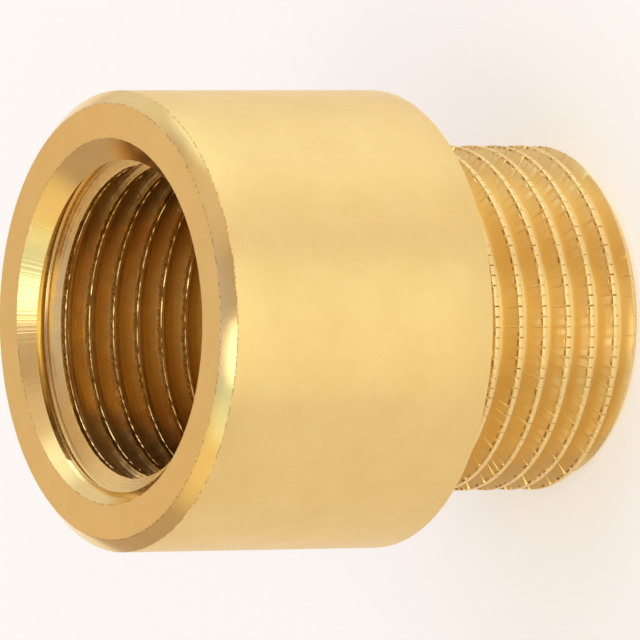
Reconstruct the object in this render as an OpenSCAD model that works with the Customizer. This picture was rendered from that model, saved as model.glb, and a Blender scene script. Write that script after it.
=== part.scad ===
// Threaded pipe extension: a short round brass piece turned from bar.
// It stands on the end of its male thread, and its female mouth opens upwards.
// The origin is the centre of the male end face, and +Z runs along the pipe axis to the mouth.

/* [Body] */
// Length from the male end face to the mouth
overall_len = 25; // [24:0.25:60]
// Diameter of the smooth round body
body_d = 22; // [20:0.5:30]
// Width of the 45 degree chamfer round the mouth end of the body
mouth_chamfer = 0.6; // [0.2:0.1:1]
// Width of the small edge break round the shoulder end of the body
shoulder_break = 0.12; // [0.05:0.01:0.4]

/* [Pipe thread] */
// Largest diameter of the thread, over the crests of the male end
thread_major_d = 16.662; // [14:0.001:18]
// Distance from one crest to the next
thread_pitch = 1.337; // [1.15:0.001:1.5]
// Radial height of the thread from root to crest
thread_depth = 0.856; // [0.6:0.001:0.95]
// Angle between each flank and a plane across the axis
flank_angle = 27.5; // [25:0.5:30]
// Flat sides drawn in one turn of a thread groove
steps_per_turn = 40; // [24:1:48]

/* [Male end] */
// Length of the male end, from its end face to the shoulder of the body
male_len = 10.25; // [9:0.25:11]
// Width of the 45 degree chamfer that leads the thread into its socket
male_chamfer = 0.85; // [0.4:0.05:1]
// Plain neck between the shoulder and the first cut of the thread
male_neck = 0.2; // [0.1:0.05:1]
// Height of the first crest above the end face, on the -Y side
male_crest_z = 0.35; // [0:0.01:1.3]

/* [Female end] */
// How far the hole cuts back the crests of the female thread from their full height
female_crest_cut = 0.05; // [0:0.01:0.15]
// Depth of the full thread below the mouth
female_thread_len = 11; // [6:0.25:11.5]
// Plain hole left below the full thread, for the nose of the tap
tap_nose_len = 1.5; // [1.25:0.25:2]
// Point angle of the drill that made the tapped hole
drill_angle = 118; // [90:1:140]
// How far the 90 degree countersink in the mouth opens past the thread, on each side
countersink_margin = 0.4; // [0.1:0.05:0.7]
// Depth of the first crest below the mouth, on the +Y side
female_crest_depth = 0.53; // [0:0.01:1.3]

/* [Waterway] */
// Diameter of the plain hole through the male end
waterway_d = 11; // [8:0.25:12]
// Width of the 45 degree edge break where the waterway meets the male end face
waterway_chamfer = 0.3; // [0.1:0.1:0.5]

/* [Hidden] */
$fn = 96;

body_r = body_d / 2;
major_r = thread_major_d / 2;
waterway_r = waterway_d / 2;
// Radius of the hole that the female thread is tapped in, over its crests
core_r = major_r - thread_depth + female_crest_cut;
countersink_r = major_r + countersink_margin;
// Height of the edge where the tapped hole's wall ends, and where its drill cone meets the waterway
core_floor_z = overall_len - female_thread_len - tap_nose_len;
waterway_top_z = core_floor_z - (core_r - waterway_r) / tan(drill_angle / 2);
// Width of the flat at the bottom of a groove: the crests of a full thread are as wide
root_flat = thread_pitch / 2 - thread_depth * tan(flank_angle);
// How far a groove is drawn past the surface that it cuts
proud = 0.08;
// Turns over which a groove runs out to the surface at its end
runout_turns = 0.3;
// Turns from the first crest of a thread back to the start of its groove, beyond the end face
lead_turns = 1.5;
// Directions from the axis to the -Y side and to the +Y side
front = -90;
back = 90;

// Half width of a groove at a height above its bottom
function groove_half(height) = root_flat / 2 + height * tan(flank_angle);

// Outline of a groove: [distance from the axis, distance along it] from its centre line.
// The groove reaches from root_r to open_r, inwards for a tapped hole and outwards for a male thread.
function groove_outline(root_r, open_r) =
    let (half = groove_half(abs(open_r - root_r)))
    root_r < open_r
        ? [[root_r, -root_flat / 2], [open_r, -half], [open_r, half], [root_r, root_flat / 2]]
        : [[open_r, -half], [root_r, -root_flat / 2], [root_r, root_flat / 2], [open_r, half]];

// How much of the groove has left the metal after a number of turns: 0 is full depth and 1 is clear of it
function runout(turn, full_turns) = max(0, (turn - full_turns) / runout_turns);

// One outline of the groove, moved to its place on the helix
function groove_ring(outline, angle, z, shift) =
    [for (q = outline) [(q[0] + shift) * cos(angle), (q[0] + shift) * sin(angle), z + q[1]]];

// A right-hand helical groove that starts at start_z and climbs or falls in the direction dir.
// It keeps its full depth for full_turns and then moves by clear, off the metal, over runout_turns.
module helical_groove(outline, start_angle, start_z, full_turns, dir, clear) {
    sides = len(outline);
    rings = ceil((full_turns + runout_turns) * steps_per_turn);
    points = [
        for (i = [0:rings])
            let (turn = i / steps_per_turn)
            each groove_ring(
                outline,
                start_angle + dir * 360 * turn,
                start_z + dir * thread_pitch * turn,
                clear * runout(turn, full_turns))
    ];
    walls = [
        for (i = [0:rings - 1])
            for (j = [0:sides - 1])
                let (a = i * sides + j, b = i * sides + (j + 1) % sides, up = sides)
                each dir > 0
                    ? [[a, b + up, a + up], [a, b, b + up]]
                    : [[a, a + up, b + up], [a, b + up, b]]
    ];
    first = [for (j = [0:sides - 1]) dir > 0 ? sides - 1 - j : j];
    last = [for (j = [0:sides - 1]) rings * sides + (dir > 0 ? j : sides - 1 - j)];
    polyhedron(points, concat([first], walls, [last]), convexity = 10);
}

// Groove of the male thread. It starts below the end face and runs out just under the shoulder.
module male_groove() {
    outline = groove_outline(major_r - thread_depth, major_r + proud);
    start_z = male_crest_z - lead_turns * thread_pitch;
    end_z = male_len - male_neck - groove_half(thread_depth);
    full_turns = (end_z - start_z) / thread_pitch - runout_turns;
    helical_groove(outline, front, start_z, full_turns, 1, thread_depth + proud);
}

// Groove of the female thread. It starts above the mouth and runs out above the floor of the tapped hole.
module female_groove() {
    outline = groove_outline(major_r, core_r - proud);
    start_z = overall_len - female_crest_depth + lead_turns * thread_pitch;
    full_turns = (start_z - (overall_len - female_thread_len)) / thread_pitch;
    helical_groove(outline, back, start_z, full_turns, -1, -(major_r - core_r + proud));
}

// Turned outline of the outside
module blank() {
    rotate_extrude()
        polygon([
            [0, 0],
            [major_r - male_chamfer, 0],
            [major_r, male_chamfer],
            [major_r, male_len],
            [body_r - shoulder_break, male_len],
            [body_r, male_len + shoulder_break],
            [body_r, overall_len - mouth_chamfer],
            [body_r - mouth_chamfer, overall_len],
            [0, overall_len]
        ]);
}

// Drilled and bored outline of the inside, drawn a little past both end faces
module inside() {
    over = 1;
    countersink_floor = overall_len - (countersink_r - core_r);
    rotate_extrude()
        polygon([
            [0, -over],
            [waterway_r + waterway_chamfer + over, -over],
            [waterway_r, waterway_chamfer],
            [waterway_r, waterway_top_z],
            [core_r, core_floor_z],
            [core_r, countersink_floor],
            [countersink_r + over, overall_len + over],
            [0, overall_len + over]
        ]);
}

module pipe_extension() {
    color("goldenrod")
        difference() {
            difference() {
                blank();
                inside();
            }
            male_groove();
            female_groove();
        }
}

pipe_extension();
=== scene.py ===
"""A short brass pipe extension: smooth turned body, tapped mouth above, serrated male pipe thread below."""

import math

import bmesh
import bpy
import numpy as np
from mathutils import Matrix, Vector


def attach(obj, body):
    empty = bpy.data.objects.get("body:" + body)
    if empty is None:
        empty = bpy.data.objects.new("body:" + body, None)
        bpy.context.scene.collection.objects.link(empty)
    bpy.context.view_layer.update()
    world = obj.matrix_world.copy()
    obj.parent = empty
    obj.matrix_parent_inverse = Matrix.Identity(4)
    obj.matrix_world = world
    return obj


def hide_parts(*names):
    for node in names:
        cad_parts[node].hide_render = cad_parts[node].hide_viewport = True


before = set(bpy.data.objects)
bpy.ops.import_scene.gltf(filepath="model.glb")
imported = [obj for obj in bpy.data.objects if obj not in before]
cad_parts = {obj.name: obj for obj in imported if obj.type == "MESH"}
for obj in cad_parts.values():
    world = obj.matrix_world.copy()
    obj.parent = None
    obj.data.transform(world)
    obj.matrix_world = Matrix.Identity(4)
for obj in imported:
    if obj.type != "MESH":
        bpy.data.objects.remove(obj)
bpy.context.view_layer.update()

MM = 0.001

# The turned piece, in millimetres, as the part's source has it
OVERALL_LEN = 25.0
BODY_R = 11.0
MOUTH_CHAMFER = 0.6
SHOULDER_BREAK = 0.12
MALE_LEN = 10.25
MALE_CHAMFER = 0.85
MALE_NECK = 0.2
COUNTERSINK_R = 8.731
CORE_R = 7.525
CORE_FLOOR_Z = 12.5
FEMALE_THREAD_LEN = 11.0
WATERWAY_R = 5.5
WATERWAY_TOP_Z = 11.283
WATERWAY_CHAMFER = 0.3
FACE_R = BODY_R - MOUTH_CHAMFER

# The pipe thread, with the rounded roots that the source leaves out
PITCH = 1.337
MAJOR_R = 8.331
THREAD_DEPTH = 0.856
FLANK = math.radians(27.5)
ROUNDING_R = 0.184
MALE_CREST_Z = 0.35
FEMALE_CREST_DEPTH = 0.53
RUNOUT_TURNS = 0.3
FRONT = -math.pi / 2
BACK = math.pi / 2
ROOT_FLAT = PITCH / 2 - THREAD_DEPTH * math.tan(FLANK)
ARC_HALF = ROUNDING_R * math.cos(FLANK)
ARC_RISE = ROUNDING_R * (1 - math.sin(FLANK))
EASE = 0.045

# The serration rolled into the male crests: nicks, and small lugs of metal pushed out on the shoulder side
NICKS = 104
NICK_COLUMNS = (0.0, 0.085, 0.36, 0.64, 0.915)
NICK_DEPTH = (0.02, 0.06)
CREST_FLAT = 0.068
LUG_LENGTH = 0.06
LUG_SPREAD = 0.045
LUG_LONGEST = 0.14
LUG_TIP = 0.01
LUG_FOOT = 0.045
LUG_CLEAR = 0.08
SLIT_DEPTH = 0.05
CREST_WANDER = 0.008

# The burr that the tap leaves along both edges of the female crests
BURR_WIDTH = 0.03
BURR_HEIGHT = 0.04

rng = np.random.default_rng(38)


# The turned form

def groove_height(offset):
    """Height of a full groove's wall above its root, at a distance along the axis from the root's centre."""
    away = np.abs(offset)
    arc = ROUNDING_R - np.sqrt(np.maximum(ROUNDING_R ** 2 - np.minimum(away, ARC_HALF) ** 2, 0))
    flank = ARC_RISE + (away - ARC_HALF) / math.tan(FLANK)
    return np.where(away < ARC_HALF, arc, flank)


def tooth_angles():
    """Angles of the outer columns: each even tooth has its nick, the nick's sides and two points of crest."""
    tooth = 2 * math.pi / NICKS
    return FRONT + np.array([(n + share) * tooth for n in range(NICKS) for share in NICK_COLUMNS])


class Skin:
    """Rings of points round the axis, counter-clockwise from above, and the faces between them."""

    def __init__(self):
        self.points, self.faces, self.slots = [], [], []
        self.size = 0

    def add(self, radius, angle, height):
        radius, angle, height = np.broadcast_arrays(radius, angle, height)
        block = np.stack([radius * np.cos(angle), radius * np.sin(angle), height], -1).reshape(-1, 3)
        first = self.size
        self.points.append(block)
        self.size += len(block)
        return first + np.arange(len(block)).reshape(radius.shape)

    def face(self, corners, slot):
        self.faces.append(corners)
        self.slots.append(np.full(len(corners), slot))

    def band(self, low, high, slot):
        """Quads between two rings with as many points. The outside is on the right from low to high."""
        self.face(np.stack([low, np.roll(low, -1), np.roll(high, -1), high], 1), slot)

    def halve(self, fine, coarse, slot, flip):
        """Joins a ring to one with half as many points."""
        here, mid, there = fine[::2], fine[1::2], np.roll(fine[::2], -1)
        beside = np.roll(coarse, -1)
        for corners in ((here, mid, coarse), (mid, beside, coarse), (mid, there, beside)):
            triangles = np.stack(corners, 1)
            self.face(triangles[:, ::-1] if flip else triangles, slot)

    def helix(self, grid, per_turn, slot, flip):
        """Quads over a grid of [row, column]. The last column meets the first one a turn further on."""
        rows = len(grid)
        ahead = np.empty_like(grid)
        ahead[:, :-1] = grid[:, 1:]
        ahead[:, -1] = grid[np.minimum(np.arange(rows) + per_turn, rows - 1), 0]
        quads = np.stack([grid[:-1], ahead[:-1], ahead[1:], grid[1:]], -1).reshape(-1, 4)
        self.face(quads[:, ::-1] if flip else quads, slot)


OUTER, MALE, FEMALE, MOUTH, INNER = range(5)


def male_rows():
    """The male thread as [row, column] heights and radii, clamped to the end face and the shoulder."""
    land, root = ROOT_FLAT / 2, PITCH / 2
    along = np.array([-land - LUG_TIP, -CREST_FLAT, CREST_FLAT, land + LUG_TIP, land + LUG_FOOT,
                      land + LUG_CLEAR, root - ARC_HALF - EASE, root - ARC_HALF, root - ARC_HALF / 2, root,
                      root + ARC_HALF / 2, root + ARC_HALF, root + ARC_HALF + EASE])
    under, below, above, tip, foot = range(5)
    angle = tooth_angles()
    per_turn = len(along)
    turns = np.arange(-2, math.ceil(MALE_LEN / PITCH) + 1)
    rise = PITCH * (angle - FRONT) / (2 * math.pi)
    crest_z = MALE_CREST_Z + PITCH * turns[:, None] + rise[None, :]
    z = crest_z[:, None, :] + along[None, :, None]
    nearest_groove = np.where(along < 0, -root, root)
    depth = groove_height(along - nearest_groove)[None, :, None] * np.ones_like(z)
    full_end = MALE_LEN - MALE_NECK - (land + THREAD_DEPTH * math.tan(FLANK)) - RUNOUT_TURNS * PITCH
    groove_z = crest_z[:, None, :] + nearest_groove[None, :, None]
    lift = np.clip((groove_z - full_end) / (RUNOUT_TURNS * PITCH), 0, 1) * THREAD_DEPTH
    r = np.minimum(MAJOR_R - THREAD_DEPTH + depth + lift, MAJOR_R)

    share = np.tile(np.arange(len(NICK_COLUMNS)), NICKS)
    tooth = np.repeat(np.arange(NICKS), len(NICK_COLUMNS))
    nick = (share == 0).astype(float)
    between = ((share == 2) | (share == 3)).astype(float)
    pressed = rng.uniform(*NICK_DEPTH, (len(turns), NICKS))[:, tooth] * nick
    lug = np.clip(rng.normal(LUG_LENGTH, LUG_SPREAD, (len(turns), NICKS)), 0.0, LUG_LONGEST)[:, tooth] * nick
    slit = rng.uniform(0.0, SLIT_DEPTH, (len(turns), NICKS))[:, tooth] * between
    uneven = rng.normal(0, CREST_WANDER, r[:, 0, :].shape)
    r[:, under, :] -= 0.4 * pressed
    r[:, below, :] -= pressed
    r[:, above, :] -= 0.8 * pressed
    z[:, below, :] -= uneven
    z[:, above, :] += 0.5 * lug + uneven
    z[:, tip, :] += lug + uneven
    r[:, tip, :] = np.where(nick > 0, np.maximum(r[:, tip, :], MAJOR_R - 0.03 - 0.2 * lug), r[:, tip, :])
    r[:, foot, :] -= slit

    z = np.maximum.accumulate(z.reshape(-1, len(angle)), axis=0)
    r = np.minimum(r.reshape(-1, len(angle)), MAJOR_R - MALE_CHAMFER + np.maximum(z, 0))
    low, high = z <= 0, z >= MALE_LEN
    r = np.where(low, MAJOR_R - MALE_CHAMFER, np.where(high, MAJOR_R, r))
    return np.clip(z, 0, MALE_LEN), r, angle, per_turn


def female_rows(columns):
    """The tapped hole as [row, column] heights and radii, from the floor of its wall up to the mouth."""
    land, root = PITCH / 2 - (ROOT_FLAT / 2 + (MAJOR_R - CORE_R) * math.tan(FLANK)), PITCH / 2
    along = np.array([-land, -land + BURR_WIDTH, 0.0, land - BURR_WIDTH, land, land + BURR_WIDTH,
                      root - ARC_HALF - EASE, root - ARC_HALF, root - ARC_HALF / 2, root, root + ARC_HALF / 2,
                      root + ARC_HALF, root + ARC_HALF + EASE, PITCH - land - BURR_WIDTH])
    burr_rows = (0, 4)
    angle = BACK + 2 * math.pi * np.arange(columns) / columns
    per_turn = len(along)
    top_z = OVERALL_LEN - FEMALE_CREST_DEPTH
    turns = np.arange(-math.ceil((top_z - CORE_FLOOR_Z) / PITCH) - 2, 3)
    rise = PITCH * (angle - BACK) / (2 * math.pi)
    crest_z = top_z + PITCH * turns[:, None] + rise[None, :]
    z = crest_z[:, None, :] + along[None, :, None]
    nearest_groove = np.where(along < 0, -root, root)
    depth = groove_height(along - nearest_groove)[None, :, None] * np.ones_like(z)
    groove_z = crest_z[:, None, :] + nearest_groove[None, :, None]
    last = OVERALL_LEN - FEMALE_THREAD_LEN
    lift = np.clip((last - groove_z) / (RUNOUT_TURNS * PITCH), 0, 1) * (MAJOR_R - CORE_R)
    r = np.maximum(MAJOR_R - depth - lift, CORE_R)
    threaded = lift < MAJOR_R - CORE_R
    for row in burr_rows:
        r[:, row, :] -= rng.uniform(0, BURR_HEIGHT, r[:, row, :].shape) * threaded[:, row, :]
    z = z.reshape(-1, columns)
    r = r.reshape(-1, columns)
    r = np.maximum(r, COUNTERSINK_R - (OVERALL_LEN - np.minimum(z, OVERALL_LEN)))
    r = np.where(z <= CORE_FLOOR_Z, CORE_R, np.where(z >= OVERALL_LEN, COUNTERSINK_R, r))
    return np.clip(z, CORE_FLOOR_Z, OVERALL_LEN), r, angle, per_turn


def make_extension():
    skin = Skin()
    z, r, nick_angle, per_turn = male_rows()
    male = skin.add(r, nick_angle[None, :], z)
    skin.helix(male, per_turn, MALE, False)

    even = FRONT + 2 * math.pi * np.arange(len(nick_angle)) / len(nick_angle)
    ring = skin.add(MAJOR_R, nick_angle, MALE_LEN)
    steps = [(9.6, MALE_LEN, OUTER)]
    for t in (0.0, 0.5, 1.0):
        bend = t * math.pi / 2
        steps.append((BODY_R - SHOULDER_BREAK * (1 - math.sin(bend)),
                      MALE_LEN + SHOULDER_BREAK * (1 - math.cos(bend)), OUTER))
    body_low, body_high = MALE_LEN + SHOULDER_BREAK, OVERALL_LEN - MOUTH_CHAMFER - 0.02
    for t in np.linspace(0, 1, 7)[1:-1]:
        steps.append((BODY_R, body_low + t * (body_high - body_low), OUTER))
    steps += [(BODY_R, body_high, OUTER),
              (BODY_R - 0.012, OVERALL_LEN - MOUTH_CHAMFER + 0.02, MOUTH),
              (FACE_R + 0.015, OVERALL_LEN - 0.02, MOUTH),
              (FACE_R - 0.02, OVERALL_LEN, MOUTH),
              (9.6, OVERALL_LEN, MOUTH)]
    for radius, height, slot in steps:
        following = skin.add(radius, even, height)
        skin.band(ring, following, slot)
        ring = following

    columns = len(nick_angle) // 2
    z, r, angle, per_turn = female_rows(columns)
    female = skin.add(r, angle[None, :], z)
    skin.helix(female, per_turn, FEMALE, True)
    quarter = int(round((BACK - FRONT) / (2 * math.pi) * columns))
    skin.halve(ring, np.roll(female[-1], quarter), MOUTH, False)
    ring = np.roll(female[0], quarter)
    inner = FRONT + 2 * math.pi * np.arange(columns) / columns
    for radius, height in ((WATERWAY_R, WATERWAY_TOP_Z), (WATERWAY_R, 6.0), (WATERWAY_R, WATERWAY_CHAMFER),
                           (WATERWAY_R + WATERWAY_CHAMFER, 0.0)):
        following = skin.add(radius, inner, height)
        skin.band(ring, following, INNER)
        ring = following
    skin.halve(male[0], ring, MALE, True)

    mesh = bpy.data.meshes.new("pipe_extension_brass")
    points = np.concatenate(skin.points) * MM
    faces = [f.tolist() for block in skin.faces for f in block]
    mesh.from_pydata(points.tolist(), [], faces)
    mesh.polygons.foreach_set("material_index", np.concatenate(skin.slots).astype(np.int32))
    bm = bmesh.new()
    bm.from_mesh(mesh)
    bmesh.ops.remove_doubles(bm, verts=bm.verts, dist=2e-7)
    bmesh.ops.triangulate(bm, faces=bm.faces)
    bm.to_mesh(mesh)
    bm.free()
    mesh.polygons.foreach_set("use_smooth", [True] * len(mesh.polygons))
    mesh.set_sharp_from_angle(angle=math.radians(28))
    return bpy.data.objects.new("turned_brass_extension", mesh)


piece = make_extension()
bpy.context.scene.collection.objects.link(piece)
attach(piece, "root")
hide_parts("pipe_extension")


# The finishes

class Value:
    """A node socket or a plain number that takes part in Python arithmetic and adds its Math nodes."""

    def __init__(self, tree, source):
        self.tree, self.source = tree, source

    def math(self, kind, *others):
        node = self.tree.nodes.new("ShaderNodeMath")
        node.operation = kind
        for socket, value in zip(node.inputs, (self, *others)):
            plug(self.tree, value, socket)
        return Value(self.tree, node.outputs[0])

    def __add__(self, other):
        return self.math("ADD", other)

    def __radd__(self, other):
        return self.math("ADD", other)

    def __sub__(self, other):
        return self.math("SUBTRACT", other)

    def __rsub__(self, other):
        return Value(self.tree, other).math("SUBTRACT", self)

    def __mul__(self, other):
        return self.math("MULTIPLY", other)

    def __rmul__(self, other):
        return self.math("MULTIPLY", other)

    def __truediv__(self, other):
        return self.math("DIVIDE", other)

    def __abs__(self):
        return self.math("ABSOLUTE")

    def clamp(self):
        return self.math("MAXIMUM", 0.0).math("MINIMUM", 1.0)


def plug(tree, value, socket):
    source = value.source if isinstance(value, Value) else value
    if isinstance(source, bpy.types.NodeSocket):
        tree.links.new(source, socket)
    else:
        socket.default_value = source


class Finish:
    """A material, with the places on the part and the kinds of unevenness that the brass finishes share."""

    def __init__(self, name):
        self.material = bpy.data.materials.new(name)
        self.material.use_nodes = True
        self.tree = self.material.node_tree
        self.tree.nodes.clear()

    def node(self, kind, settings, values, output=0):
        node = self.tree.nodes.new(kind)
        for key, setting in settings.items():
            setattr(node, key, setting)
        for key, value in values.items():
            plug(self.tree, value, node.inputs[key])
        return Value(self.tree, node.outputs[output])

    def find_places(self):
        """Millimetres along the axis, from the axis and round it, all measured on the part itself."""
        place = self.node("ShaderNodeTexCoord", {}, {}, "Object")
        self.place = self.node("ShaderNodeVectorMath", {"operation": "SCALE"}, {0: place, "Scale": 1 / MM})
        x, y, self.height = (self.node("ShaderNodeSeparateXYZ", {}, {0: self.place}, axis) for axis in "XYZ")
        self.radius = (x * x + y * y).math("SQRT")
        self.angle = y.math("ARCTAN2", x)
        self.x, self.y = x, y

    def uneven(self, size, detail=2.0, where=None):
        """Smooth patches about size millimetres across, mostly from -1 to 1."""
        values = {"Vector": where or self.place, "Scale": 1 / size, "Detail": detail}
        cloud = self.node("ShaderNodeTexNoise", {}, values, "Fac")
        return (cloud - 0.5) * 4.0

    def point(self, x, y, z):
        return self.node("ShaderNodeCombineXYZ", {}, {"X": x, "Y": y, "Z": z})

    def rings(self, size, detail=2.0):
        """Unevenness that runs round the axis, as the tool leaves it."""
        return self.uneven(size, detail, self.point(self.radius, 0.0, self.height))

    def spokes(self, count, detail=0.0):
        """Unevenness that changes only round the axis, about count times a turn."""
        ring = count / (2 * math.pi)
        place = self.point(self.x / self.radius * ring, self.y / self.radius * ring, 0.0)
        return self.uneven(1.0, detail, place)

    def from_crest(self, crest_z, start):
        """Millimetres along the axis from the nearest crest of a thread."""
        turn = (self.height - crest_z) / PITCH - (self.angle - start) / (2 * math.pi)
        return ((turn + 0.5).math("FRACT") - 0.5) * PITCH

    def along_thread(self, crest, size, detail=2.0):
        """Unevenness that runs along a thread, the same in every turn, as a chaser or a tap leaves it."""
        turn = crest * (2 * math.pi / PITCH)
        ring = PITCH / (2 * math.pi)
        place = self.point(turn.math("COSINE") * ring, turn.math("SINE") * ring, 0.0)
        return self.uneven(size, detail, place)

    def mix(self, factor, low, high):
        return self.node("ShaderNodeMix", {"data_type": "RGBA"}, {0: factor, 6: low, 7: high}, 2)

    def relief(self, height, microns):
        values = {"Strength": 1.0, "Distance": microns * 1e-6, "Height": height}
        return self.node("ShaderNodeBump", {}, values)

    def brass(self, colour, roughness, normal, anisotropic):
        values = {"Base Color": colour, "Metallic": 1.0, "Roughness": roughness, "Anisotropic": anisotropic,
                  "Anisotropic Rotation": 0.25, "Normal": normal}
        surface = self.node("ShaderNodeBsdfPrincipled", {}, values)
        self.node_out(surface)
        return self.material

    def node_out(self, surface):
        out = self.tree.nodes.new("ShaderNodeOutputMaterial")
        plug(self.tree, surface, out.inputs["Surface"])


def close_to(value, place, width):
    """1 where a value is at a place, falling to 0 at a width from it."""
    return (1 - abs(value - place) / width).clamp()


PALE_BRASS = (0.95, 0.71, 0.31, 1)
DEEP_BRASS = (0.85, 0.61, 0.23, 1)
# The thread brass is a little deeper and more saturated than the body's: painted shade for the hollows of the
# threads and the waterway.
THREAD_BRASS = (0.93, 0.69, 0.29, 1)
DEEP_THREAD = (0.82, 0.57, 0.22, 1)
# Dark brown for the speckled edge lines and the flecks on the female crests. It is also the painted shade in
# the male nicks and the painted shadow along the male crests' edges between the lugs.
DARK_FLECKS_AND_PAINTED_SHADE = (0.30, 0.16, 0.06, 1)
EDGE_LINE = 0.045


def specks(finish, size, share):
    """Small scattered flecks: 1 inside a fleck. A higher share covers more."""
    return (finish.uneven(size, 1.0) * 2.0 + share).clamp()


def satin_body():
    finish = Finish("satin_body")
    finish.find_places()
    clouds = finish.uneven(2.6, 3.0) * 0.22 + finish.uneven(0.5, 2.0) * 0.1 + finish.uneven(0.09, 1.0) * 0.05
    colour = finish.mix((0.5 + clouds).clamp(), DEEP_BRASS, PALE_BRASS)
    edge = close_to(finish.height, OVERALL_LEN - MOUTH_CHAMFER, EDGE_LINE) * specks(finish, 0.16, 0.4)
    low_edge = close_to(finish.height, MALE_LEN, EDGE_LINE) * specks(finish, 0.16, 0.0)
    colour = finish.mix(((edge + low_edge) * 0.8).clamp(), colour, DARK_FLECKS_AND_PAINTED_SHADE)
    roughness = 0.40 + finish.uneven(1.7, 3.0) * 0.025
    relief = finish.relief(finish.uneven(0.35, 3.0) + finish.rings(0.12) * 0.4, 1.2)
    return finish.brass(colour, roughness, relief, 0.85)


def mouth_face():
    finish = Finish("mouth_face")
    finish.find_places()
    clouds = finish.uneven(2.0, 3.0) * 0.2 + finish.uneven(0.4, 2.0) * 0.08 + finish.rings(0.14) * 0.05
    colour = finish.mix((0.45 + clouds).clamp(), DEEP_BRASS, PALE_BRASS)
    edges = (close_to(finish.height, OVERALL_LEN - MOUTH_CHAMFER, EDGE_LINE) * specks(finish, 0.16, 0.5)
             + close_to(finish.radius, FACE_R, EDGE_LINE) * specks(finish, 0.2, 0.1)
             + close_to(finish.radius, COUNTERSINK_R, EDGE_LINE) * specks(finish, 0.16, 0.0))
    colour = finish.mix((edges * 0.75).clamp(), colour, DARK_FLECKS_AND_PAINTED_SHADE)
    chamfer = ((finish.radius - FACE_R) / 0.02).clamp()
    roughness = 0.38 - chamfer * 0.2 + finish.uneven(1.7, 3.0) * 0.02
    relief = finish.relief(finish.uneven(0.4, 3.0) * 0.8 + finish.rings(0.1) * 0.4, 1.0)
    return finish.brass(colour, roughness, relief, 0.6)


def female_thread():
    """The tapped hole with the tap's lines, and its countersink with the tool's chatter marks."""
    finish = Finish("female_thread")
    finish.find_places()
    crest = finish.from_crest(OVERALL_LEN - FEMALE_CREST_DEPTH, BACK)
    sink = 1 - ((COUNTERSINK_R - (OVERALL_LEN - finish.height) - finish.radius + 0.012) * -80).clamp()
    lines = finish.along_thread(crest, 0.07) + finish.uneven(0.6, 2.0) * 0.5
    # The deeper thread brass paints shade into the tapped hole.
    colour = finish.mix((0.4 + lines * 0.35).clamp(), DEEP_THREAD, THREAD_BRASS)
    land = (1 - abs(crest) * 7.5).clamp() * specks(finish, 0.1, 0.5)
    colour = finish.mix((land * 1.4).clamp() * 0.75, colour, DARK_FLECKS_AND_PAINTED_SHADE)
    pale = finish.mix((0.5 + finish.uneven(1.6, 3.0) * 0.2).clamp(), DEEP_BRASS, PALE_BRASS)
    rim = (close_to(finish.height, OVERALL_LEN, EDGE_LINE * 0.8) * specks(finish, 0.16, 0.0)).clamp() * 0.7
    colour = finish.mix(sink, colour, finish.mix(rim, pale, DARK_FLECKS_AND_PAINTED_SHADE))
    chattered = (close_to(finish.angle, math.radians(86), math.radians(46)) * 1.6).clamp()
    chatter = finish.spokes(560.0, 1.0) * chattered
    relief = finish.relief(chatter * sink * 1.1 + (1 - sink) * (finish.along_thread(crest, 0.09) * 2.0
                           + finish.uneven(0.12, 1.0) * 0.5), 2.2)
    roughness = 0.2 + finish.uneven(0.5, 2.0) * 0.03
    return finish.brass(colour, roughness, relief, 0.7)


def male_thread():
    """The serrated thread: chased flanks, a painted highlight on the crest lands, painted shade in the nicks
    and a painted shadow between the lugs.
    """
    finish = Finish("male_thread")
    finish.find_places()
    crest = finish.from_crest(MALE_CREST_Z, FRONT)
    tooth = ((finish.angle - FRONT) * (NICKS / (2 * math.pi)) + 0.5).math("FRACT") - 0.5
    lines = finish.along_thread(crest, 0.06) * 0.5 + finish.uneven(0.9, 3.0) * 0.4
    # The deeper thread brass paints shade into the grooves.
    colour = finish.mix((0.55 + lines * 0.2).clamp(), DEEP_THREAD, THREAD_BRASS)
    # Painted highlight: the male crest lands are mixed towards pale brass for the bright reflection they
    # catch.
    land = ((ROOT_FLAT / 2 + 0.01 - abs(crest)) * 60).clamp()
    colour = finish.mix(land * 0.8, colour, PALE_BRASS)
    # Painted shade: the nicks in the male crests are darkened.
    nick = close_to(tooth, 0.0, 0.1) * ((0.16 - abs(crest)) * 30).clamp() * specks(finish, 0.3, 0.6)
    between = ((abs(tooth) - 0.14) * 12).clamp()
    # Painted shadow: a dark slit along the shoulder-side edge of each crest, between the lugs, where the
    # rolled edge overhangs.
    slit = close_to(crest, ROOT_FLAT / 2 + 0.035, 0.04) * between * specks(finish, 0.5, 0.2)
    colour = finish.mix((nick * 0.8 + slit * 0.9).clamp(), colour, DARK_FLECKS_AND_PAINTED_SHADE)
    relief = finish.relief(finish.along_thread(crest, 0.045) + finish.uneven(0.15, 2.0) * 0.3, 1.6)
    roughness = 0.34 + finish.uneven(0.8, 2.0) * 0.03
    return finish.brass(colour, roughness, relief, 0.88)


def waterway():
    finish = Finish("waterway")
    finish.find_places()
    clouds = finish.uneven(1.8, 3.0) * 0.2 + finish.rings(0.15) * 0.2
    # The deeper thread brass paints shade into the waterway.
    colour = finish.mix((0.4 + clouds).clamp(), DEEP_THREAD, THREAD_BRASS)
    relief = finish.relief(finish.rings(0.14), 3.0)
    return finish.brass(colour, 0.3 + finish.uneven(0.9, 2.0) * 0.03, relief, 0.8)


for material in (satin_body(), male_thread(), female_thread(), mouth_face(), waterway()):
    piece.data.materials.append(material)


# The floor, the light and the camera

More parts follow.
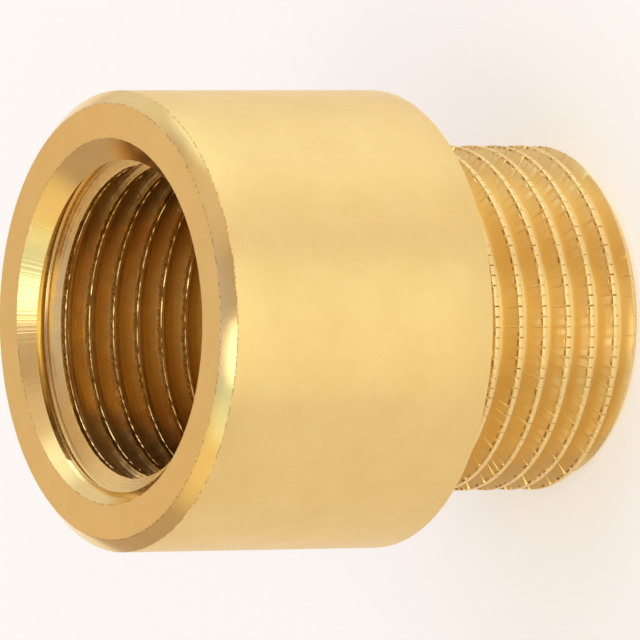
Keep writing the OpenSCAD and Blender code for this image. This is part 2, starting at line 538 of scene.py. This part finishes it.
def make_floor():
    half = 2.0
    mesh = bpy.data.meshes.new("floor")
    corners = [(-half, -half, 0), (half, -half, 0), (half, half, 0), (-half, half, 0)]
    mesh.from_pydata(corners, [], [(0, 1, 2, 3)])
    floor = bpy.data.objects.new("floor", mesh)
    bpy.context.scene.collection.objects.link(floor)
    finish = Finish("pale_floor")
    rays = ("Is Camera Ray", "Is Glossy Ray", "Is Transmission Ray")
    seen = sum(finish.node("ShaderNodeLightPath", {}, {}, ray) for ray in rays).clamp()
    matt = finish.node("ShaderNodeBsdfDiffuse", {}, {"Color": (0.8, 0.8, 0.8, 1)})
    glow = finish.node("ShaderNodeEmission", {}, {"Color": (1, 1, 1, 1), "Strength": FLOOR_GLOW})
    both = finish.node("ShaderNodeAddShader", {}, {0: matt, 1: glow})
    finish.node_out(finish.node("ShaderNodeMixShader", {}, {0: seen, 1: matt, 2: both}))
    mesh.materials.append(finish.material)


FLOOR_GLOW = 0.3
make_floor()


def direction(azimuth, elevation):
    """A direction from the part. Azimuth 0 is the +Y side and 90 the +X side."""
    a, e = math.radians(azimuth), math.radians(elevation)
    return Vector((math.sin(a) * math.cos(e), math.cos(a) * math.cos(e), math.sin(e)))


class Glow:
    """A soft light on the tent, at full strength in its middle and nothing at half_width degrees from it."""

    def __init__(self, azimuth, elevation, half_width, colour):
        self.way = direction(azimuth, elevation)
        self.reach = math.cos(math.radians(half_width))
        self.colour = colour

    def light(self, tree, place):
        near = tree.nodes.new("ShaderNodeVectorMath")
        near.operation = "DOT_PRODUCT"
        tree.links.new(place, near.inputs[0])
        near.inputs[1].default_value = self.way
        share = ((Value(tree, near.outputs["Value"]) - self.reach) / (1 - self.reach)).clamp()
        return share * share * (3 - 2 * share)


def make_world(tent, glows):
    """A soft white tent with brighter places, one for each lamp behind it."""
    world = bpy.data.worlds.new("studio")
    world.use_nodes = True
    tree = world.node_tree
    tree.nodes.clear()
    place = tree.nodes.new("ShaderNodeTexCoord").outputs["Generated"]
    total = tent
    for glow in glows:
        part = tree.nodes.new("ShaderNodeVectorMath")
        part.operation = "MULTIPLY_ADD"
        plug(tree, glow.light(tree, place), part.inputs[0])
        part.inputs[1].default_value = glow.colour
        plug(tree, total, part.inputs[2])
        total = part.outputs[0]
    back = tree.nodes.new("ShaderNodeBackground")
    plug(tree, total, back.inputs["Color"])
    out = tree.nodes.new("ShaderNodeOutputWorld")
    tree.links.new(back.outputs[0], out.inputs["Surface"])
    bpy.context.scene.world = world


TENT = (0.54, 0.42, 0.36)
window = Glow(azimuth=88, elevation=12, half_width=32, colour=(1.45, 2.0, 2.4))
window_high = Glow(azimuth=100, elevation=48, half_width=28, colour=(0.25, 0.25, 0.25))
beside_window = Glow(azimuth=122, elevation=12, half_width=24, colour=(1.0, 1.15, 1.2))
front_lamp = Glow(azimuth=166, elevation=14, half_width=26, colour=(1.3, 1.6, 1.6))
front_fill = Glow(azimuth=172, elevation=38, half_width=20, colour=(0.5, 0.65, 0.7))
far_lamp = Glow(azimuth=198, elevation=15, half_width=26, colour=(1.1, 1.2, 0.95))
high_lamp = Glow(azimuth=201, elevation=57, half_width=15, colour=(2.2, 2.2, 2.2))
far_fill = Glow(azimuth=235, elevation=52, half_width=20, colour=(0.15, 0.45, 0.6))
warm_fill = Glow(azimuth=268, elevation=45, half_width=30, colour=(0.45, 0.4, 0.15))
back_fill = Glow(azimuth=0, elevation=45, half_width=36, colour=(0.35, 0.3, 0.2))
behind_window = Glow(azimuth=45, elevation=15, half_width=32, colour=(0.3, 0.4, 0.5))
overhead = Glow(azimuth=0, elevation=90, half_width=30, colour=(0.05, 0.2, 0.5))
make_world(TENT, (window, window_high, beside_window, front_lamp, front_fill, far_lamp, high_lamp, far_fill,
                  warm_fill, back_fill, behind_window, overhead))
bpy.context.scene.view_settings.view_transform = "Standard"

# The camera stands on the -Y side, above the part, and is turned so that the pipe lies across the picture
VIEW_TARGET = Vector((-0.048, -5.2017, 16.3903)) * MM
VIEW_DISTANCE = 725.9 * MM
VIEW_ELEVATION = math.radians(31.1398)
VIEW_AZIMUTH = math.radians(-90.2337)
VIEW_ROLL = math.radians(90.5592)
LENS = 858.2


def make_camera():
    level = math.cos(VIEW_ELEVATION)
    back = Vector((math.cos(VIEW_AZIMUTH) * level, math.sin(VIEW_AZIMUTH) * level, math.sin(VIEW_ELEVATION)))
    lens = bpy.data.cameras.new("camera")
    lens.sensor_width = 36
    lens.lens = LENS
    lens.clip_start, lens.clip_end = 0.05, 20
    camera = bpy.data.objects.new("camera", lens)
    camera.rotation_mode = "QUATERNION"
    upright = (-back).to_track_quat("-Z", "Y").to_matrix()
    camera.matrix_world = (Matrix.Translation(VIEW_TARGET + back * VIEW_DISTANCE)
                           @ (upright @ Matrix.Rotation(-VIEW_ROLL, 3, "Z")).to_4x4())
    bpy.context.scene.collection.objects.link(camera)
    bpy.context.scene.camera = camera


make_camera()
